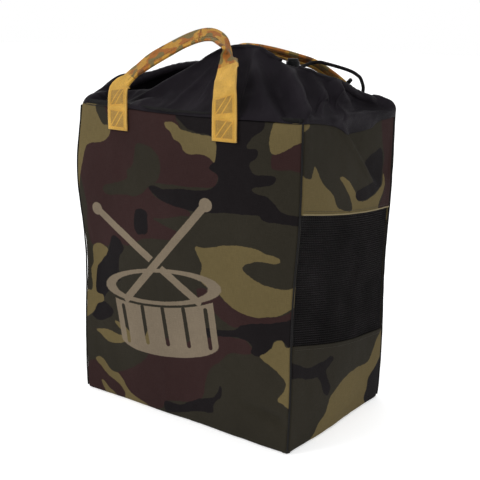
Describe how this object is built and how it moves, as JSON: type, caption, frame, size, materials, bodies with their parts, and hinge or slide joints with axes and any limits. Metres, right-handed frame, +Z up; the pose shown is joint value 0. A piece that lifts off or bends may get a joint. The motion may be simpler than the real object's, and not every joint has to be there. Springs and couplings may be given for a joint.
{
  "type": "drawstring tote bag",
  "caption": "Tall box-shaped soft gear tote with a gathered drawstring collar, sprung cord lock, webbing carry handles and a mesh window in each side.",
  "frame": {"origin": "middle of the base, on the surface that the bag stands on", "axes": "+Z up, +X to the right along the printed front, +Y from the front to the rear"},
  "size_m": [0.3958, 0.3045, 0.5631],
  "materials": {
    "camouflage_canvas": "printed woodland camouflage canvas, matt",
    "black_nylon": "plain-woven nylon, slight sheen",
    "black_mesh": "open knitted mesh, matt",
    "black_binding": "ribbed tape, matt",
    "ochre_webbing": "ribbed webbing, slight sheen",
    "black_cord": "braided polyester",
    "black_plastic": "moulded, fine texture",
    "grey_board": "flat sheet",
    "spring_steel": "drawn wire"
  },
  "bodies": {
    "bag": {"front_panel": "camouflage_canvas", "rear_panel": "camouflage_canvas", "right_upper_gusset": "camouflage_canvas", "right_lower_gusset": "camouflage_canvas", "left_upper_gusset": "camouflage_canvas", "left_lower_gusset": "camouflage_canvas", "base_panel": "camouflage_canvas", "base_board": "grey_board", "right_mesh_window": "black_mesh", "left_mesh_window": "black_mesh", "base_seam_binding": "black_binding", "front_left_corner_binding": "black_binding", "front_right_corner_binding": "black_binding", "rear_right_corner_binding": "black_binding", "rear_left_corner_binding": "black_binding", "top_seam_binding": "black_binding", "collar_skirt": "black_nylon", "hem_channel": "black_nylon", "drawcord_in_channel": "black_cord", "drawcord_tail_a": "black_cord", "drawcord_tail_b": "black_cord", "cord_end_a": "black_plastic", "cord_end_b": "black_plastic", "front_handle_left_end": "ochre_webbing", "front_handle_right_end": "ochre_webbing", "rear_handle_left_end": "ochre_webbing", "rear_handle_right_end": "ochre_webbing"},
    "front_handle": {"front_handle_strap": "ochre_webbing"},
    "rear_handle": {"rear_handle_strap": "ochre_webbing"},
    "cord_lock": {"cord_lock_barrel": "black_plastic", "cord_lock_spring": "spring_steel"},
    "lock_button": {"cord_lock_plunger": "black_plastic"}
  },
  "joints": [
    {"name": "front_handle_swing", "type": "hinge", "parent": "bag", "child": "front_handle", "pos_m": [-0.098, -0.15066, 0.45325], "axis": [0.9999, -0.0117, 0], "range_deg": [0, 165]},
    {"name": "rear_handle_swing", "type": "hinge", "parent": "bag", "child": "rear_handle", "pos_m": [0.105, 0.1507, 0.45325], "axis": [-1, 0, 0], "range_deg": [0, 165]},
    {"name": "cord_lock_slide", "type": "slide", "parent": "bag", "child": "cord_lock", "axis": [-0.3267, 0.9451, 0], "range_m": [0, 0.028]},
    {"name": "lock_button_press", "type": "slide", "parent": "cord_lock", "child": "lock_button", "axis": [0, 0, -1], "range_m": [0, 0.003], "stiffness_N_per_m": 800, "springref_m": -0.003, "deforming": ["cord_lock_spring"]}
  ]
}
